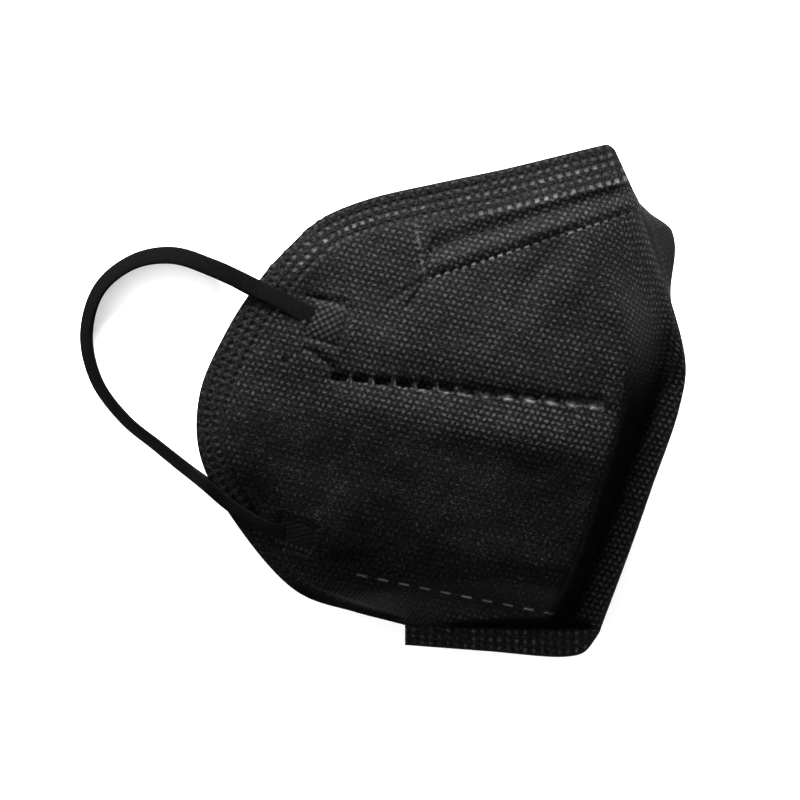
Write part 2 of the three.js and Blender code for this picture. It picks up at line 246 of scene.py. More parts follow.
# ---- the smooth surface of one half, as the solids have it
def section(column, v):
    """One column of SECTIONS at v, on a smooth curve through its values."""
    rows = np.array(SECTIONS[column], float)
    last = len(rows) - 1
    place = np.clip(v, 0, 1) * last
    row = np.minimum(last - 1, np.floor(place)).astype(int)
    t = place - row
    a, b, c, d = (rows[np.clip(row + k, 0, last)] for k in (-1, 0, 1, 2))
    bend = (2 * a - 5 * b + 4 * c - d) * t**2 + (3 * b - a - 3 * c + d) * t**3
    return np.maximum(0, b + 0.5 * ((c - a) * t + bend))


def plan_point(u, v):
    """Plan place: u runs from the cheek edge to the fold, v from the chin seam to the top edge."""
    u, v = np.broadcast_arrays(u, v)
    uu, vv = u[..., None], v[..., None]
    across = cheek_edge(v) * (1 - uu) + centre_fold(v) * uu
    along = chin_line(u) * (1 - vv) + top_edge(u) * vv
    low = chin_line(0.0) * (1 - uu) + chin_line(1.0) * uu
    high = top_edge(0.0) * (1 - uu) + top_edge(1.0) * uu
    return across + along - (low * (1 - vv) + high * vv)


def locate(x, y):
    """The u and v of plan places, by Newton steps."""
    u, v = np.full(np.shape(x), 0.5), np.full(np.shape(x), 0.5)
    step = 0.002
    for _ in range(12):
        miss = stacked(x, y) - plan_point(u, v)[..., :2]
        ua, ub = np.maximum(0, u - step), np.minimum(1, u + step)
        va, vb = np.maximum(0, v - step), np.minimum(1, v + step)
        du = (plan_point(ub, v) - plan_point(ua, v)) / (ub - ua)[..., None]
        dv = (plan_point(u, vb) - plan_point(u, va)) / (vb - va)[..., None]
        area = cross(du, dv)
        u = np.clip(u + cross(miss, dv) / area, 0, 1)
        v = np.clip(v + cross(du, miss) / area, 0, 1)
    return u, v


def fold_places(plan, v):
    """Distance from the centre fold, and how wide the pressed strip and the rise behind it are there."""
    return size_of(plan - centre_fold(v)), section("keel", v), section("rise", v)


# ---- features that are welded, pressed or creased into both panels, in plan millimetres
def line_places(plan, start, end):
    """Distances along a line from its start and out to its left, and its length."""
    way = np.subtract(end, start)
    length = math.hypot(*way)
    way = way / length
    rel = plan[..., :2] - np.array(start)
    return rel @ way, rel @ np.array((-way[1], way[0])), length


def segment_distance(plan, start, end):
    x, y, length = line_places(plan, start, end)
    return np.hypot(np.maximum(0, np.maximum(-x, x - length)), y)


def turned_places(plan, place, turn):
    """Distances from a place, along and across a way that is turned by so many degrees."""
    c, s = cos_sin(turn)
    dx, dy = plan[..., 0] - place[0], plan[..., 1] - place[1]
    return dx * c + dy * s, dy * c - dx * s


def edge_places(plan, reach=13.0):
    """Distance in from the free edge, or FAR past reach, length along the edge, and its whole length."""
    line = np.vstack([cheek_edge.line, top_edge.line[1:]])[::6, :2]
    run = run_length(line)
    way = unit(np.gradient(line, axis=0))
    flat = plan[..., :2].reshape(-1, 2)
    distance, along = np.full(len(flat), FAR), np.zeros(len(flat))
    for part in np.array_split(np.arange(len(flat)), 1 + len(flat) // 20000):    # few at a time, to save memory
        gaps = ((flat[part, None, :] - line[None]) ** 2).sum(-1)
        near = gaps.argmin(1)
        rel = flat[part] - line[near]
        along[part] = run[near] + (rel * way[near]).sum(1)
        distance[part] = np.where(gaps.min(1) > reach**2, FAR, np.abs(cross(rel, way[near])))
    return distance.reshape(plan.shape[:-1]), along.reshape(plan.shape[:-1]), run[-1]


def edge_band(plan):
    """Depth pressed by the welded edge band, the painted glint on its squares, and how far each place lies in the
    band.
    """
    distance, along, total = edge_places(plan)
    share, *changes = zip(*BAND_CHANGES)
    width, deep, bright = (np.interp(along / total, share, change) for change in changes)
    banded = ease(width - distance, BAND["fade"])
    column = np.floor(along / BAND["pitch"])
    beside = along - (column + 0.5) * BAND["pitch"]
    luck = np.random.default_rng(5).uniform(0.35, 1.25, (len(BAND_ROWS), 200))
    pressed, melted = np.zeros_like(distance), np.zeros_like(distance)
    for (row, half, strength), row_luck in zip(BAND_ROWS, luck):
        square = soft_box(distance - row, half, BAND["soft"]) * soft_box(beside, BAND["half"], BAND["soft"])
        square = square * (row + 0.5 < width)
        lucky = row_luck[np.clip(column, 0, 199).astype(int)]
        pressed = np.maximum(pressed, square * (0.6 + 0.4 * lucky))
        melted = np.maximum(melted, strength * square * lucky)
    rim = BAND["rim"] * (1 - ease(distance, 0.5)) * (distance < FAR)
    return BAND["pressed"] * banded + deep * pressed + rim, melted * bright, banded


def pit_rows(plan):
    """Depth of the pit rows with their valleys, and each place's painted glint, which is painted shade where it is
    below 0.
    """
    depth, melted = np.zeros(plan.shape[:-1]), np.zeros(plan.shape[:-1])
    luck = np.random.default_rng(11).uniform(0.7, 1.2, 40)
    for row in PIT_ROWS:
        ends = row["from"], row["to"]
        x, y, length = line_places(plan, *ends)
        last, half_y = row["count"] - 1, row["tall"]
        pitch = length / last
        nearest = np.clip(np.round(x / pitch), 0, last)
        beside = x - nearest * pitch
        pairs = (row[key] for key in ("wide", "depth", "slant", "bright"))
        half_x, deep, slant, bright = (start + (end - start) * nearest / last for start, end in pairs)
        lucky = luck[nearest.astype(int)]
        pit = soft_box(beside, half_x, 0.4) * soft_box(y, half_y, 0.35)
        floor = 1 - slant * np.clip(0.5 - y / (2 * half_y), 0, 1)
        spread = row["spread"] * np.where(y > 0, 0.7, 1.4)
        valley = row["valley"] * bell(segment_distance(plan, *ends) / spread)
        depth += valley * (1 + row["pinch"] * np.cos(2 * np.pi * x / pitch)) + deep * pit * floor
        # painted shade in the dark pits, deepest under their upper edge where the shadow falls
        shaded = np.where(bright < 0, 0.25 + 0.75 * ease(0.7 + y / (1.6 * half_y)), 1.0)
        melted += pit * bright * shaded * lucky
        # painted highlights: a bar at the side of each early pit and a lip under each later one
        bar = soft_box(beside + half_x + 0.2, 0.15, 0.25) * soft_box(y, half_y, 0.4)
        lip = soft_box(y + half_y + 0.05, 0.16, 0.2) * soft_box(beside + 0.3, half_x * 0.55, 0.5)
        bar, lip = bar * ease(9 - nearest, 4), lip * ease(nearest - 1, 3)
        melted = np.maximum(melted, row["bars"] * np.maximum(bar, lip))
        # a painted glint low in each pit, growing from the fifth pit on
        away = np.hypot((beside + half_x * 0.45) / 0.8, (y + half_y * 0.5) / 0.5)
        spot = bell(away) * lucky * ease(nearest - 4, 4)
        melted = np.maximum(melted, row["spot"] * spot)
    # single pricks, with painted shade in them
    for x, y, radius, deep in PITS:
        prick = blob(plan, (x, y), (radius, radius), 0)
        depth += deep * prick
        melted -= 0.9 * prick
    return depth, melted


def ridge_places(plan):
    """Distances below the ridge's groove, above and along its weld line, and in from its cheek end."""
    groove, weld = RIDGE["groove"], RIDGE["weld"]
    along, above_weld, _ = line_places(plan, *weld)
    return -line_places(plan, *groove)[1], above_weld, along, -line_places(plan, weld[0], groove[0])[1]


def ridge_bed(plan):
    """Depth of the bed under the nose wire's cover, and of the groove and weld valley beside it."""
    below_groove, above_weld, along, from_end = ridge_places(plan)
    inside = ease(below_groove, 1.2) * ease(above_weld + 0.3, 1.2) * ease(from_end - 0.6, 1.5)
    wide, narrow = RIDGE["groove_reach"]
    reach = wide + (narrow - wide) * np.clip(along / 52, 0, 1)
    slope = ease((below_groove + reach) / reach) * ease(5 - below_groove, 4)
    groove = RIDGE["groove_depth"] * slope * ease(from_end + 0.8, 2.5)
    weld = 0.2 * bell(above_weld / 1.6) * ease(along + 1, 3)
    return RIDGE["bed"] * inside, groove + weld


def weld_dents(plan):
    """The panel is pinched under each loop weld and puffs up round it."""
    depth = np.zeros(plan.shape[:-1])
    for weld in (UPPER_WELD, LOWER_WELD):
        a, b = turned_places(plan, weld["at"], weld["turn"])
        inside = soft_box(a, weld["size"][0] / 2 + 0.2, 2.4) * soft_box(b, weld["size"][1] / 2 + 0.2, 2.0)
        depth += 0.8 * inside - 0.8 * blob(plan, weld["at"], (10.5, 9), weld["turn"])
    return depth


def blob(plan, place, reach, turn):
    """1 at a place, falling off smoothly over its reach along and across a turned way."""
    along, across = turned_places(plan, place, turn)
    return np.exp(-((along / reach[0]) ** 2) - (across / reach[1]) ** 2)


def soft_forms(plan):
    """Height of the swells, dents and sharp creases."""
    rise = np.zeros(plan.shape[:-1])
    for *shape, height in SOFT_FORMS:
        rise += height * blob(plan, *shape)
    for start, end, depth, spread in CREASES:
        rise -= depth * bell(segment_distance(plan, start, end) / spread)
    return rise


def gathers(plan):
    """How far the cloth is gathered in fine slanting wrinkles, beside the chin seam."""
    x, above = plan[..., 0], line_places(plan, *GATHERED_BELOW)[1]
    return ease(x + 24, 8) * ease(20 - x, 10) * ease(1.5 - above, 3)


def rim_stripes(plan, from_fold):
    """Slanting folds pressed into the rim of the centre fold, deepest at its front."""
    x, y, form = plan[..., 0], plan[..., 1], RIM_STRIPES
    zone = ease(form["width"] - from_fold, 1.5) * bell((y - form["at"]) / form["reach"])
    return form["height"] * zone * np.sin(2 * np.pi * (x + form["slant"] * y) / form["pitch"])


def lumps(plan, seed):
    """Uneven loft of the laminate: a few smooth random waves."""
    rng = np.random.default_rng(seed)
    rise = np.zeros(plan.shape[:-1])
    count = 6
    for wave, height in LOFT_WAVES:
        for _ in range(count):
            turn, phase = rng.uniform(0, 2 * np.pi, 2)
            size = wave * rng.uniform(0.8, 1.3)
            ahead = plan[..., 0] * math.cos(turn) + plan[..., 1] * math.sin(turn)
            rise += height / count**0.5 * np.sin(2 * np.pi * ahead / size + phase)
    return rise


def calm_zone(plan):
    """How far the bond points fade, as painted shade, between the two long rows of pits."""
    above_row, above_low = (line_places(plan, *line)[1] for line in (CALM_BELOW, CALM_ABOVE))
    x, y = plan[..., 0], plan[..., 1]
    between = ease(-above_row, 10) * ease(above_low + 5, 8)
    return between * ease(x + 41 + 0.35 * (y + 10), 9) * ease(61 + 0.38 * (y + 20) - x, 6)


def dull_places(side, u, v):
    """How far the cloth is darkened with painted shade: on the steep wall behind the fold, in the chin's creases and
    in patches.
    """
    plan = plan_point(u, v)
    from_fold, keel, rise = fold_places(plan, v)
    wall = ease(keel + rise + 2 - from_fold, 5) * ease(from_fold - keel + 1.6, 3.2) * ease(0.66 - v, 0.22)
    distance, _, _ = edge_places(plan, 4.0)
    x, y = plan[..., 0], plan[..., 1]
    reach = 0.5 + 1.9 * ease(x - 12, 26)
    crease = ease((reach + 0.8 - segment_distance(plan, *CHIN_CREASE)) / 1.8) * ease(x - 8, 12)
    rim = ease(2.5 - distance, 1.2) * ease(x + 25, 6) * ease(7 - x, 5) * (y < -40)
    turn = 0.35 * ease(0.8 - from_fold, 0.4) * (v > 0.6) * (side > 0)
    shade_patches = sum(share * blob(plan, *shape) for *shape, share in PAINTED_SHADE_PATCHES)
    return np.maximum.reduce([wall, crease, 0.8 * rim, turn, np.minimum(shade_patches, 0.9)])


def outer_surface(side, u, v, details=True, bed=True):
    """Outer face of a half in millimetres, with the painted glint and shade of its welds and the banded share of each
    place.
    """
    u, v = np.broadcast_arrays(u, v)
    plan = plan_point(u, v)
    from_fold, keel, rise = fold_places(plan, v)
    from_chin, width = size_of(plan - chin_line(u)), size_of(cheek_edge(v) - centre_fold(v))
    keeled, rounded = ease((from_fold - keel) / rise), quarter_round(from_fold / rise)
    round_ = np.clip(section("round", v), 0, 1)
    chin_width = CHIN_RISE["cheek"] + (CHIN_RISE["front"] - CHIN_RISE["cheek"]) * np.sqrt(u)
    chin_place, chin_round = from_chin / chin_width, CHIN_RISE["round"]
    chin = ease(chin_place) * (1 - chin_round) + quarter_round(chin_place) * chin_round
    share = from_fold / width
    body = section("shoulder", v) + (section("cheek", v) - section("shoulder", v)) * share
    body = body + section("crown", v) * np.sin(np.pi * share)
    lift = (keeled + (rounded - keeled) * round_) * chin
    base = CLOTH["pressed"] * (1 - round_) * quarter_round(from_fold / CLOTH["pressed"])
    height = base + 0.02 + lift * (body - base)
    melted, banded = np.zeros_like(height), np.zeros_like(height)
    if details:
        band_depth, melted, banded = edge_band(plan)
        pit_depth, pit_melted = pit_rows(plan)
        bed_depth, groove_depth = ridge_bed(plan)
        loft = ease(from_fold, 9) * ease(from_chin, 7)
        depth = band_depth * ease(from_fold, 3) + (pit_depth + weld_dents(plan)) * loft
        depth += groove_depth * ease(from_fold, 6) + (bed_depth * ease(from_fold, 5) if bed else 0)
        forms = soft_forms(plan) + lumps(plan, 3 if side > 0 else 8)
        height = height - depth + forms * loft * (1 - 0.6 * banded)
        height = height + rim_stripes(plan, from_fold) * ease(from_fold, 0.8)
        melted = np.maximum(melted, pit_melted * loft)
    if side < 0:
        spread = np.where(v > NOSE_BULGE["at"], NOSE_BULGE["above"], NOSE_BULGE["below"])
        bulge = NOSE_BULGE["size"] * bell((v - NOSE_BULGE["at"]) / spread)
        reach = from_fold / NOSE_BULGE["reach"]
        plan[..., 0] += bulge * reach * np.exp(1 - reach)
    points = stacked(plan[..., 0], plan[..., 1], np.maximum(0.0, FOLD_HEIGHT + side * height))
    return points, melted, banded


def smooth_surface(side, u, v):
    """Outer face of a half without its details."""
    return outer_surface(side, u, v, details=False)[0]


def grid_normals(points):
    """Unit normals of a grid of points, from its own neighbours."""
    normal = np.cross(np.gradient(points, axis=0), np.gradient(points, axis=1))
    return normal / np.maximum(1e-9, size_of(normal))[..., None]


# ---- meshes from grids of points
def mesh_object(name, points, faces, attributes):
    mesh = bpy.data.meshes.new(name)
    mesh.from_pydata((np.asarray(points) * MM).tolist(), [], faces)
    for key, values in attributes.items():
        values = np.asarray(values, np.float32)
        kind, field = ("FLOAT", "value") if values.ndim == 1 else ("FLOAT_VECTOR", "vector")
        mesh.attributes.new(key, kind, "POINT").data.foreach_set(field, values.ravel())
    mesh.polygons.foreach_set("use_smooth", [True] * len(mesh.polygons))
    mesh.update()
    return add_object(name, mesh)


def grid_faces(index):
    return np.stack([index[:-1, :-1], index[1:, :-1], index[1:, 1:], index[:-1, 1:]], -1).reshape(-1, 4).tolist()


def border(index):
    """Indices once round a grid's edge."""
    return np.concatenate([index[:-1, 0], index[-1, :-1], index[:0:-1, -1], index[0, :0:-1]]).tolist()


def closed_wall(name, front, back, attributes, flip=False):
    """A closed wall between a front grid and a back grid, which may be a whole number of times coarser."""
    fine = np.arange(front[..., 0].size).reshape(front.shape[:2])
    coarse = fine.size + np.arange(back[..., 0].size).reshape(back.shape[:2])
    ratio = (len(fine) - 1) // (len(coarse) - 1)
    faces = grid_faces(fine) + [face[::-1] for face in grid_faces(coarse)]
    fine, coarse = border(fine), border(coarse)
    for k, first in enumerate(coarse):
        last = coarse[(k + 1) % len(coarse)]
        run = [fine[(k * ratio + step) % len(fine)] for step in range(ratio + 1)]
        middle = ratio // 2
        if ratio == 1:
            faces.append([last, run[1], run[0], first])
            continue
        faces += [[first, run[i + 1], run[i]] for i in range(middle)]
        faces.append([first, last, run[middle]])
        faces += [[last, run[i + 1], run[i]] for i in range(middle, ratio)]
    if flip:
        faces = [face[::-1] for face in faces]
    points = np.vstack([front.reshape(-1, 3), back.reshape(-1, 3)])
    spread = {}
    for key, values in attributes.items():
        tail = values[::ratio, ::ratio] * (0.0 if key == "melted" else 1.0)     # no painted glint or shade on the inside
        shape = (-1,) + values.shape[2:]
        spread[key] = np.concatenate([values.reshape(shape), tail.reshape(shape)])
    return mesh_object(name, points, faces, spread)


def packed(count, zones):
    """count + 1 shares from 0 to 1, closer together in zones of (from, to, how much closer)."""
    s = np.linspace(0, 1, 4001)
    density = np.ones_like(s)
    for low, high, closer in zones:
        density[(s >= low) & (s <= high)] = closer
    total = np.insert(np.cumsum(density[1:]), 0, 0)
    return np.interp(np.linspace(0, 1, count + 1), total / total[-1], s)


def extra_length(plan, points, axis):
    """How much longer than its plan a surface is, from the start of each line of its grid."""
    flat, full = size_of(np.diff(plan, axis=axis)), size_of(np.diff(points, axis=axis))
    return np.insert(np.cumsum(np.maximum(0, full - flat), axis=axis), 0, 0, axis=axis)


def cloth_places(points, plan, strip, first, last, foot, level):
    """Each place's own millimetres in the cloth: the plan's, stretched where the cloth slopes.

    Before column first the stretch stays as it is there, and in the strip it is that of the fold at column last.
    Past each column's row foot, the stretch across the columns stays as it is there, as far as level says.
    """
    def stretched(axis):
        extra = extra_length(plan, points, axis)
        extra = extra - np.take(extra, [extra.shape[axis] // 2], axis=axis)
        extra = extra[:, np.maximum(np.arange(extra.shape[1]), first)]
        if axis == 0:
            held = np.take_along_axis(extra, np.minimum(np.arange(len(extra))[:, None], foot), axis=0)
            return extra + (held - extra) * level
        return extra + (extra[-1, last] - extra) * strip

    return stacked(plan[..., 0] + stretched(0), plan[..., 1] + stretched(1), 0.0)


def cloth_attributes(cloth, **changes):
    """What the cloth's material reads: places in the cloth, and how far each is changed in each way."""
    return {"cloth": cloth, **{key: changes.get(key, 0.0) + np.zeros(cloth.shape[:-1]) for key in CHANGES}}


# ---- the pieces
def corner_rounded(points, radius=2.2):
    """Points with the sharp corner between the top edge and the fold rounded off."""
    corner = top_edge(1.0)[:2]
    ways = unit(np.stack([top_edge(0.95)[:2] - corner, centre_fold(0.95)[:2] - corner]))
    along = (points[..., :2] - corner) @ np.linalg.inv(ways)
    left = 1 - along / radius
    near = np.all(left > 0, axis=-1)
    shrink = left.max(-1) / np.maximum(1e-9, np.hypot(left[..., 0], left[..., 1]))
    along = np.where(near[..., None], radius * (1 - left * shrink[..., None]), along)
    return np.concatenate([corner + along @ ways, points[..., 2:]], axis=-1)


def make_panel(name, side):
    """One half of the cup: a pressed cloth wall with its band, pits, creases and puffs."""
    cells = CLOTH["fine"]
    across = packed(cells, [(0, 0.1, 1.6), (0.96, 1, 2.0)])
    along = packed(cells, [(0.91, 1, 1.7), (0, 0.03, 1.3)])
    u, v = np.meshgrid(across, along, indexing="ij")
    front, melted, banded = outer_surface(side, u, v)
    ratio = cells // CLOTH["coarse"]
    coarse = front[::ratio, ::ratio]
    wall = CLOTH["wall"] - (CLOTH["wall"] - CLOTH["pressed"]) * banded[::ratio, ::ratio, None]
    back = coarse - grid_normals(coarse) * wall * side
    back[..., 2] = FOLD_HEIGHT + side * np.maximum(0.02, side * (back[..., 2] - FOLD_HEIGHT))
    back[..., 2] = np.maximum(back[..., 2], 0.3 if side < 0 else 0)
    plan = plan_point(u, v)
    from_fold, keel, rise = fold_places(plan, v)
    strip = ease(keel + rise / 2 - from_fold, 3) * ease(0.5 - v, 0.15)
    first, last = np.searchsorted(along, (0.12, 0.45))
    foot = (from_fold > keel + rise + 1).sum(0) - 1
    level = ease(0.7 - v, 0.2)
    cloth = cloth_places(smooth_surface(side, u, v), plan, strip, first, last, foot, level)
    plain = 0.7 * ease(1.9 - from_fold, 1.0) * ease(0.5 - v, 0.12)
    # painted light: bond points made brighter along the pressed strip at the fold and on the swell below the right
    # pits
    bold = ease(keel - from_fold, 4) * ease(0.6 - v, 0.15)
    bold = np.maximum(bold, 0.4 * blob(plan, (37, -7), (24, 6), -8))
    if side < 0:
        plain = bell((v - NOSE_BULGE["at"]) / 0.1) * ease(u - 0.86, 0.06)
    # the cloth's painted shade, and the painted light on its bond points, are passed on here
    extra = cloth_attributes(cloth, melted=melted, banded=banded, calm=calm_zone(plan), gathered=gathers(plan),
                             plain=plain, dull=dull_places(side, u, v), bold=bold)
    return closed_wall(name, corner_rounded(front), corner_rounded(back), extra, flip=side < 0)


def ridge_plan(t, c):
    """Plan place on the ridge: t from its cheek end to the fold, c from its groove to its flange's edge."""
    (g0, g1), (w0, w1) = RIDGE["groove"], RIDGE["weld"]
    top = np.array(g0) + t[..., None] * np.subtract(g1, g0)
    low = np.array(w0) + t[..., None] * np.subtract(w1, w0)
    down = low - top
    return top + down * (1 + RIDGE["flange"] / size_of(down)[..., None]) * c[..., None]


def make_ridge(name):
    """The nose wire's cover, in one length over both halves."""
    rows, columns = RIDGE["rows"], RIDGE["columns"]
    t, c = unit_grid(rows, columns)
    t = 1 - (1 - t) ** 1.5      # more rows towards the fold
    place = ridge_plan(t, c)
    u, v = locate(place[..., 0], place[..., 1])
    u[-1] = 1.0
    join = lambda right, left: np.concatenate([right[:-1], (right[-1:] + left[-1:]) / 2, left[-2::-1]])
    t, place = join(t, t), join(place, place)
    skin = join(*(outer_surface(side, u, v, bed=False)[0] for side in (1, -1)))
    smooth = join(*(smooth_surface(side, u, v) for side in (1, -1)))
    normal = -grid_normals(smooth)
    normal *= np.sign(normal[rows // 2, columns // 2, 2])
    _, above_weld, along, from_end = ridge_places(place)
    beside = in_cell(along, BAND["pitch"])
    luck = np.random.default_rng(7).uniform(0.5, 1.2, 60)
    melted = soft_box(above_weld + 0.1, 0.5, 0.25) * soft_box(beside, 0.55, 0.25)
    lucky = luck[np.clip(along / BAND["pitch"], 0, 59).astype(int)]
    end = quarter_round(from_end / 2.5) * (0.35 + 0.65 * ease(1 - t, 0.09))
    profile = np.pad(np.interp(c[0], *zip(*RIDGE_PROFILE)), 2, "edge")
    profile = np.convolve(profile, np.array([1, 2, 3, 2, 1]) / 9, "valid")
    wave = 1 + 0.05 * np.sin(along / 2.1) + 0.04 * np.sin(along / 0.9 + 1.3)
    height = np.where(profile > 0, profile * wave * end, profile) - 0.12 * melted
    front = skin + normal * height[..., None]
    back = (skin - normal * 0.35)[::2, ::2]
    steep = extra_length(place, smooth, 0)
    steep = np.where(np.arange(len(t))[:, None] > rows, 2 * steep[rows] - steep, steep)
    cloth = stacked(place[..., 0] + steep, place[..., 1], 0.0)
    # painted glints on the weld squares, and painted shade in the pricks between them
    glint_and_gloss = melted * lucky * (0.6 + 0.3 * soft_box(along - 24, 12, 10))
    pricks = soft_box(above_weld - 0.3, 0.45, 0.4) * soft_box(np.abs(beside) - 1.15, 0.4, 0.4)
    glint_and_gloss = glint_and_gloss - 0.7 * pricks * soft_box(along - 9, 14, 12) * (1 - melted)
    return closed_wall(name, front, back, cloth_attributes(cloth, melted=glint_and_gloss), flip=True)


def make_chin_seam(name):
    """The flange below the chin, where both halves are welded flat, with its columns of weld points."""
    i, j = unit_grid(220, 40)
    plan = flange_edge(i) * (1 - j[..., None]) + chin_line(i) * j[..., None]
    along, below, from_front = plan[..., 0], j * SEAM["width"], (1 - i) * 60
    column, row = in_cell(along, SEAM["column"]), in_cell(below, SEAM["row"])
    melted = soft_box(column, 0.34, 0.4) * soft_box(row, 0.42, 0.4) * ease(below - 0.6, 0.4)
    luck = np.random.default_rng(2).uniform(0.0, 0.8, (4, 40))
    lucky = luck[np.clip(below / SEAM["row"], 0, 3).astype(int), np.clip(along / SEAM["column"], 0, 39).astype(int)]
    to_edge = np.minimum(np.minimum(below, along - CHIN_LINE[0][0]), from_front + 0.02)
    round_ = quarter_round(to_edge / SEAM["round"])
    half = 0.02 + (SEAM["half"] + 0.05 * np.sin(along / 1.7) - SEAM["pressed"] * melted) * round_
    front, back = plan.copy(), plan.copy()
    front[..., 2], back[..., 2] = FOLD_HEIGHT + half, FOLD_HEIGHT - half
    cloth = stacked(along, plan[..., 1], 0.0)
    # painted glints on the weld points
    shine = melted * lucky * 0.55 + 0.03 * soft_box(column, 0.4, 0.5) + 0.012
    # painted shade along the flange's top by the chin line, under the crease above it
    dull = ease(along - 12, 8) * ease(j - 0.8, 0.2)
    plain = ease(3 - from_front, 2)
    extra = cloth_attributes(cloth, melted=shine * (1 - plain), banded=1.0, plain=plain, dull=dull)
    return closed_wall(name, front, back, extra)


def make_loop_weld(name, side, weld, pattern):
    """Knurled patch where a strap's end is welded down, let into the panel."""
    (left, low), (long, wide) = weld["at"], weld["size"]
    steps = np.linspace(-0.5, 0.5, WELD_PAD["cells"] + 1)
    a, b = np.meshgrid(steps * long, steps * wide, indexing="ij")
    c, s = cos_sin(weld["turn"])
    x, y = left + a * c - b * s, low + a * s + b * c
    u, v = locate(x, y)
    skin, normal = outer_surface(side, u, v)[0], grid_normals(smooth_surface(side, u, v)) * side
    round_ = ease(np.minimum(long / 2 - np.abs(a), wide / 2 - np.abs(b)) / WELD_PAD["round"])
    bumps = pattern(a, b)
    height = round_ * (WELD_PAD["height"] + WELD_PAD["knurl"] * bumps) - WELD_PAD["sunk"]
    front, back = skin + normal * height[..., None], (skin - normal * WELD_PAD["below"])[::3, ::3]
    return closed_wall(name, front, back, {"knit": stacked(x, y, bumps)}, flip=side < 0)


def diamonds(a, b):
    """Staggered diamond knurl."""
    wave = np.cos(2 * np.pi * (a + b) / 1.9) + np.cos(2 * np.pi * (a - b) / 1.9)
    return ease(wave + 1.2, 3.0) * (0.75 - 0.05 * a)


def hatch(a, b):
    """Fine slanting hatch with a row of weld points along its lower edge."""
    lines = 0.5 + 0.5 * np.cos(2 * np.pi * (0.85 * b - 0.5 * a) / 1.1)
    points = soft_box(b + 2.9, 0.45, 0.4) * (0.5 + 0.5 * np.cos(2 * np.pi * a / 1.3))
    return 0.2 * lines * (b > -2.2) + 0.9 * points


# ---- straps
STRAP = {"width": 4.5, "thickness": 0.95, "steps": 440, "round": 28, "rib": 0.75, "stitch": 0.52}
# Places on the panel and the centre line's height over it
UPPER_LEAD = [(-14.5, 19.2, 0), (-18.9, 21.2, 0.45), (-25, 24.5, 0.75), (-31, 27.3, 0.85)]
LOWER_LEAD = [(-38.5, -25, 0.85), (-33, -28.8, 0.7), (-27.4, -31.6, 0.4), (-24, -32.6, 0)]
# Each loop between its leads: place and turn about its own line in degrees
RIGHT_LOOP = [
    (-42, 32.6, 44.8, 12), (-52, 35.75, 42, 20), (-62, 34.2, 38, 34), (-70.5, 27.5, 34, 44), (-74, 16.25, 31, 50),
    (-71.5, 5, 30.5, 52), (-64.6, -4.4, 32.5, 55), (-55.7, -11.6, 36.5, 52), (-48.6, -17.1, 41.5, 42),
    (-43.6, -20.9, 46.8, 26),
]
LEFT_LOOP = [
    (-43, 33.4, 2.65, 50), (-53.2, 36.6, 2.7, 66), (-63.2, 34.9, 2.7, 70), (-71.5, 27.9, 2.7, 70),
    (-74.7, 16.4, 2.7, 70), (-72.2, 5, 2.7, 70), (-65.3, -4.5, 2.7, 70), (-56.5, -11.8, 2.7, 66),
    (-49.6, -17.4, 2.4, 56), (-44, -21.6, 2.2, 42),
]


def lead_rows(side, places):
    """Rows of a strap's centre line where it lies on a panel, tilted as the panel is."""
    x, y, lift = np.array(places, float).T
    u, v = locate(x, y)
    at = lambda du, dv: smooth_surface(side, np.clip(u + du, 0, 1), np.clip(v + dv, 0, 1))
    step = 0.01
    normal = unit(np.cross(at(step, 0) - at(-step, 0), at(0, step) - at(0, -step)))
    spot = at(0, 0) + normal * side * lift[:, None]
    way = np.array([x[-1] - x[0], y[-1] - y[0]])
    level = np.array([-way[1], way[0]]) / np.hypot(*way)
    tilt = -np.degrees(np.arctan2(normal[:, :2] @ level, normal[:, 2]))
    return [(*point, turn) for point, turn in zip(spot, tilt)]


def make_strap(name, side, loop):
    """An ear loop: a flat, ribbed strap from one weld round to the other."""
    rows = lead_rows(side, UPPER_LEAD) + loop + lead_rows(side, LOWER_LEAD)
    line = curve_points([row[:3] for row in rows], 200)
    turns = curve_points([(index, row[3]) for index, row in enumerate(rows)], 200)[:, 1]
    run = run_length(line)
    where = np.linspace(0, run[-1], STRAP["steps"] + 1)
    centre = line_at(line, where)
    turn = np.radians(np.interp(where, run, turns))[:, None]
    ahead = unit(np.gradient(centre, axis=0))
    level = unit(stacked(-ahead[:, 1], ahead[:, 0], 0.0))
    level = level * np.cos(turn) + np.cross(ahead, level) * np.sin(turn)
    up = np.cross(ahead, level)
    angle = np.linspace(0, 2 * np.pi, STRAP["round"], endpoint=False)
    power = lambda x, p: np.sign(x) * np.abs(x) ** p
    x, y = power(np.cos(angle), 0.35), power(np.sin(angle), 0.75)
    half_width = STRAP["width"] / 2
    ribs = 1 + 0.07 * np.cos(2 * np.pi * x * half_width / STRAP["rib"])
    near_end = np.minimum(where, run[-1] - where)
    flared = 0.2 * (1 - ease(near_end, 9))
    turned_end = 0.3 * ease(where / run[-1] - 0.72, 0.16)
    wide = half_width * (1 + 0.01 * np.sin(where / 3.1) + flared - turned_end)
    thick = STRAP["thickness"] / 2 * (0.4 + 0.6 * ease(near_end, 7))
    points = centre[:, None] + level[:, None] * x[:, None] * wide[:, None, None]
    points = points + up[:, None] * (y * ribs)[:, None] * thick[:, None, None]
    index = np.arange(points[..., 0].size).reshape(-1, len(angle))
    faces = grid_faces(np.hstack([index, index[:, :1]])) + [index[0].tolist(), index[-1][::-1].tolist()]
    knit = stacked(where[:, None], x * half_width, y)
    return mesh_object(name, points.reshape(-1, 3), faces, {"knit": knit.reshape(-1, 3)})


# ---- materials
class Value:
    """An output that can be written in sums, each operation as one Math node."""

    def __init__(self, nodes, socket):
        self.nodes, self.socket = nodes, socket

    def __add__(self, other):
        return self.nodes.math("ADD", self, other)

    def __mul__(self, other):
        return self.nodes.math("MULTIPLY", self, other)

    def __sub__(self, other):
        return self.nodes.math("SUBTRACT", self, other)

    def __rsub__(self, other):
        return self.nodes.math("SUBTRACT", other, self)


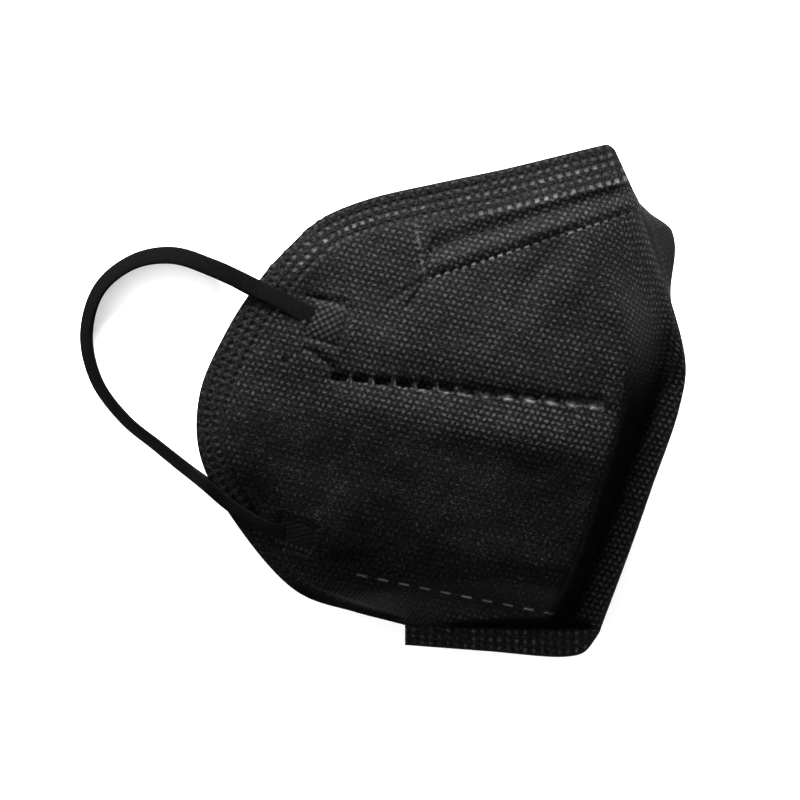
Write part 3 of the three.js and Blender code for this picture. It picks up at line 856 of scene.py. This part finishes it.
class Nodes:
    """Short calls for the nodes of one material or world."""

    def __init__(self, owner, shader="Principled BSDF"):
        owner.use_nodes = True
        self.owner, self.tree = owner, owner.node_tree
        self.shader = self.tree.nodes[shader]

    def link(self, value, socket):
        if isinstance(value, Value):
            self.tree.links.new(value.socket, socket)
        else:
            socket.default_value = value

    def set(self, **inputs):
        """Sets or links the shader's inputs, with _ for a space in a name."""
        for name, value in inputs.items():
            self.link(value, self.shader.inputs[name.replace("_", " ")])

    def outputs(self, kind, inputs, **settings):
        """The outputs of a new node, given its inputs by name or number."""
        node = self.tree.nodes.new("ShaderNode" + kind)
        for name, value in settings.items():
            setattr(node, name, value)
        for name, value in inputs.items():
            self.link(value, node.inputs[name])
        return {name: Value(self, socket) for name, socket in (*node.outputs.items(), *enumerate(node.outputs))}

    def math(self, operation, a, b=0.0):
        return self.outputs("Math", {0: a, 1: b}, operation=operation)[0]

    def vector(self, operation, a, b, output="Vector"):
        return self.outputs("VectorMath", {0: a, 1: b}, operation=operation)[output]

    def dot(self, a, b):
        return self.vector("DOT_PRODUCT", a, b, "Value")

    def turned(self, vector, degrees, scale):
        turn = (0, 0, math.radians(degrees))
        return self.outputs("Mapping", {"Vector": vector, "Rotation": turn, "Scale": scale})[0]

    def ramp(self, value, low, high, to_low=0.0, to_high=1.0):
        inputs = dict(enumerate((value, low, high, to_low, to_high)))
        return self.outputs("MapRange", inputs, interpolation_type="SMOOTHSTEP")[0]

    def attribute(self, name, output="Fac"):
        return self.outputs("Attribute", {}, attribute_name=name)[output]

    def parts(self, vector):
        found = self.outputs("SeparateXYZ", {0: vector})
        return [found[axis] for axis in "XYZ"]

    def place(self, x, y):
        return self.outputs("CombineXYZ", {0: x, 1: y})[0]

    def noise(self, vector, scale, detail=3.0, rough=0.55, output="Fac"):
        inputs = {"Vector": vector, "Scale": scale, "Detail": detail, "Roughness": rough}
        return self.outputs("TexNoise", inputs)[output]

    def mix(self, share, a, b):
        return self.outputs("Mix", {0: share, 6: a, 7: b}, data_type="RGBA")[2]

    def bump(self, height, strength, distance, **under):
        inputs = {"Height": height, "Strength": strength, "Distance": distance, **under}
        return self.outputs("Bump", inputs)[0]


def grey(level):
    return (level, level, level, 1)


# Bond points of the spunbond cloth, of two kinds that take turns: the two steps of their lattice, and the half
# length, half width and turn of each kind's oval
BOND = {"steps": ((1.497, -0.358), (0.916, 1.274)), "ovals": ((0.56, 0.36, -20), (0.50, 0.38, 52))}
# the bond points' grey is partly their own and partly a painted glint; the weld glint colour is a painted glint on the
# weld squares and pits
BASE_COLOUR, BOND_COLOUR, WELD_GLINT_COLOUR = (0.0015, 0.00153, 0.00153, 1), grey(0.036), grey(0.17)
# painted shade, put on the steep wall behind the fold, in the chin's creases, in dark pits and in patches
PAINTED_SHADE_COLOUR = (0.0012, 0.0012, 0.0013, 1)
WRINKLE_PITCH = 1.25


def oval(n, place, half_long, half_short, turn):
    """Distance from the middle of an oval, where 1 is its edge."""
    c, s = cos_sin(turn)
    a = n.dot(place, (c / half_long, s / half_long, 0))
    b = n.dot(place, (-s / half_short, c / half_short, 0))
    return n.math("SQRT", a * a + b * b)


def bond_points(n, cloth):
    """Distance from the middle of the nearest bond point, and that point's random number."""
    (ax, ay), (bx, by) = BOND["steps"]
    area = ax * by - ay * bx
    s = n.dot(cloth, (by / area, -bx / area, 0)) + 0.5
    t = n.dot(cloth, (-ay / area, ax / area, 0)) + 0.5
    cell = n.place(n.math("FLOOR", s), n.math("FLOOR", t))
    part_s, part_t = n.math("FRACT", s) - 0.5, n.math("FRACT", t) - 0.5
    place = n.place(part_s * ax + part_t * bx, part_s * ay + part_t * by)
    kind = n.math("FLOORED_MODULO", n.dot(cell, (1, 1, 0)), 2)
    first, second = (oval(n, place, *shape) for shape in BOND["ovals"])
    luck = n.outputs("TexWhiteNoise", {"Vector": cell}, noise_dimensions="2D")["Value"]
    return first * (1 - kind) + second * kind, luck


def cloth_material():
    n = Nodes(bpy.data.materials.new("spunbond_cloth"))
    flat = n.attribute("cloth", "Vector")
    melted, banded, calm, gathered, plain, dull, bold = (n.attribute(key) for key in CHANGES)
    drift = n.noise(flat, 0.5, 3, 0.5, output="Color")
    shift = n.vector("MULTIPLY", n.vector("SUBTRACT", drift, (0.5, 0.5, 0.5)), (0.9, 0.9, 0))
    drifted = n.vector("ADD", flat, shift)
    fleece = n.noise(flat, 3.4, 4, 0.75)

    # bond points, fainter in patches, where the cloth is changed and under painted shade, and brighter under painted
    # light
    far, luck = bond_points(n, drifted)
    dots = n.ramp(far, 0.35, 1.4, 1, 0) * n.ramp(luck, 0, 1, 0.5, 1.25)
    dots = dots * n.ramp(n.noise(flat, 0.45, 2), 0.30, 0.60, 0.6, 1)
    dots = dots * n.ramp(fleece, 0.36, 0.64, 0.2, 1.4)
    for change, share in ((banded, 0.6), (calm, 0.86), (gathered, 0.85), (plain, 0.95), (dull, 0.88), (bold, -1.4)):
        dots = dots * (1 - change * share)

    # fibres in two directions, and single stray ones
    streaks = n.math("MAXIMUM", n.noise(n.turned(flat, 34, (0.8, 2.2, 1)), 1.35, 3, 0.7),
                     n.noise(n.turned(flat, -28, (0.8, 2.2, 1)), 1.25, 3, 0.7))
    grain = streaks * 0.65 + fleece * 0.35
    thread = n.ramp(grain, 0.50, 0.64) * (0.42 - calm * 0.17)
    curl = n.vector("ADD", flat, n.vector("MULTIPLY", shift, (3, 3, 0)))
    stray = n.math("ABSOLUTE", n.noise(n.turned(curl, 24, (0.5, 1.2, 1)), 0.7, 1) - 0.5)
    stray = n.ramp(stray, 0, 0.012, 1, 0) * n.ramp(n.noise(flat, 0.8, 2), 0.5, 0.62)

    # wrinkles of the gathers, flecks, faint bond points of the calm zone, and felt of the welded band
    wrinkle = n.math("SINE", n.dot(drifted, (1, -0.8, 0)) * (2 * math.pi / WRINKLE_PITCH)) * gathered
    speck = n.ramp(n.noise(flat, 2.3, 2, 0.6), 0.58, 0.70) * n.ramp(n.noise(flat, 0.1, 2), 0.4, 0.6)
    faint_points = n.ramp(far, 0.2, 1.1, 1, 0) * n.ramp(luck, 0.35, 1, 0.15, 1)
    faint_points = faint_points * (calm * n.ramp(fleece, 0.4, 0.64, 0, 0.5))
    felt = banded * n.ramp(n.noise(flat, 2, 3, 0.7), 0.38, 0.64, -0.1, 0.15)

    shade = dots * 0.8 + thread + speck * (calm * 0.6 + 0.15) + faint_points + felt
    shade = shade + n.math("MAXIMUM", wrinkle, 0) * 0.16 + stray * (calm * 0.45 + 0.15) + plain * 0.2
    colour = n.mix(shade, BASE_COLOUR, BOND_COLOUR)
    # painted glints on the weld squares and pits
    glint_and_gloss = n.math("MAXIMUM", melted, 0)
    ragged = glint_and_gloss * n.ramp(fleece, 0.36, 0.6, 0.35, 1.25)
    colour = n.mix(ragged, colour, WELD_GLINT_COLOUR)
    # painted shade in the dark pits and on the shaded places
    colour = n.mix(n.math("MAXIMUM", melted * -1, dull * 0.85), colour, PAINTED_SHADE_COLOUR)
    rough = 0.62 - dots * 0.14 - glint_and_gloss * 0.26 + dull * 0.35
    # the specular level drops under the painted shade and rises at the painted glints
    gloss = 1 - dull + ragged * 2.7
    soft = n.bump(grain + wrinkle * 0.35, 0.6, 0.0003)
    # the specular level ends in a constant factor, because that is what an exported material keeps of it
    n.set(Base_Color=colour, Roughness=rough, Specular_IOR_Level=gloss * 0.022,
          Normal=n.bump(dots * -1, 0.5, 0.00022, Normal=soft))
    return n.owner


def elastic_material():
    """Fine knit: small slanting stitches in rows along the strap."""
    n = Nodes(bpy.data.materials.new("knitted_elastic"))
    knit = n.attribute("knit", "Vector")
    along, across, _ = n.parts(knit)
    row = across * (1 / STRAP["rib"])
    fuzz = n.noise(knit, 1.9, 4.0, 0.75)
    lean = n.math("ABSOLUTE", n.math("FRACT", row) - 0.5) * 0.8 + fuzz * 0.7
    stitch = n.math("SINE", (along + lean) * (2 * math.pi / STRAP["stitch"]))
    loops = stitch * 0.4 + n.math("SINE", row * (2 * math.pi)) * 0.08
    shade = n.ramp(loops * 0.8 + fuzz, 0.4, 0.9)
    n.set(Base_Color=n.mix(shade, grey(0.0003), grey(0.0075)), Roughness=0.9, Specular_IOR_Level=0.03,
          Normal=n.bump(loops + fuzz, 0.5, 0.00012))
    return n.owner


def weld_material():
    """Melted cloth and elastic, lighter on the knurl's tops and weld points with a painted highlight."""
    n = Nodes(bpy.data.materials.new("melted_weld"))
    knit = n.attribute("knit", "Vector")
    fuzz = n.noise(n.vector("MULTIPLY", knit, (1, 1, 0)), 2.0, 4.0, 0.7)
    # painted highlight: the knurl's raised tops and weld points are lighter
    shade = n.parts(knit)[2] * n.ramp(fuzz, 0.38, 0.62, 0.1, 1.2)
    n.set(Base_Color=n.mix(shade, grey(0.0009), grey(0.025)), Roughness=n.ramp(fuzz, 0.3, 0.7, 0.48, 0.66),
          Specular_IOR_Level=0.05, Normal=n.bump(fuzz, 0.4, 0.0002))
    return n.owner


def floor_material():
    """A pale floor that glows a little, as a light table does, so that shadows on it stay pale."""
    n = Nodes(bpy.data.materials.new("pale_floor"))
    n.set(Base_Color=grey(0.9), Roughness=0.9, Specular_IOR_Level=0.1, Emission_Color=grey(1), Emission_Strength=0.2)
    return n.owner


# ---- stage
def add_floor(half=3000):
    corners = [(-half, -half, 0), (half, -half, 0), (half, half, 0), (-half, half, 0)]
    floor = mesh_object("floor", corners, [(0, 1, 2, 3)], {})
    floor.data.materials.append(floor_material())


def add_world(toward, low, high, overhead):
    """Soft light all round: from low behind to high in the direction toward, and weaker overhead."""
    world = bpy.data.worlds.new("studio")
    n = Nodes(world, "Background")
    place = n.outputs("TexCoord", {})["Generated"]
    light = n.ramp(n.dot(place, toward), -0.3, 1.0, low, high)
    n.set(Color=grey(1), Strength=light * n.ramp(n.parts(place)[2], 0.5, 1, 1, overhead))
    bpy.context.scene.world = world
    view = bpy.context.scene.view_settings
    view.view_transform, view.exposure, view.gamma = "Standard", 1.0, 0.85


def add_area_light(name, place, size, power):
    data = bpy.data.lights.new(name, "AREA")
    data.shape = "RECTANGLE"
    data.size, data.size_y = size
    data.energy = power
    light = add_object(name, data)
    light.location = place
    light.rotation_euler = (-light.location).to_track_quat("-Z", "Y").to_euler()


add_floor()
add_world(toward=(-0.85, 0.5, 0.1), low=0.5, high=1.4, overhead=0.4)
add_area_light("key", place=(-0.1, 1.3, 0.48), size=(0.9, 0.3), power=68)

looks = {"cloth": cloth_material(), "elastic": elastic_material(), "weld": weld_material()}


def put(piece, slot, node):
    piece.data.materials.append(looks[slot])
    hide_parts(node)
    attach(piece, "root")


left_panel = make_panel("left_panel_cloth", -1)
right_panel = make_panel("right_panel_cloth", 1)
for side_name, side, panel, loop in (("right", 1, right_panel, RIGHT_LOOP), ("left", -1, left_panel, LEFT_LOOP)):
    put(panel, "cloth", f"{side_name}_panel")
    strap = make_strap(f"{side_name}_ear_strap", side, loop)
    put(strap, "elastic", f"{side_name}_ear_loop")
    for level, weld, pattern in (("upper", UPPER_WELD, diamonds), ("lower", LOWER_WELD, hatch)):
        pad = make_loop_weld(f"{side_name}_{level}_weld_patch", side, weld, pattern)
        put(pad, "weld", f"{side_name}_{level}_loop_weld")
put(make_ridge("nose_wire_cover"), "cloth", "nose_wire_channel")
put(make_chin_seam("chin_seam_flange"), "cloth", "chin_seam")
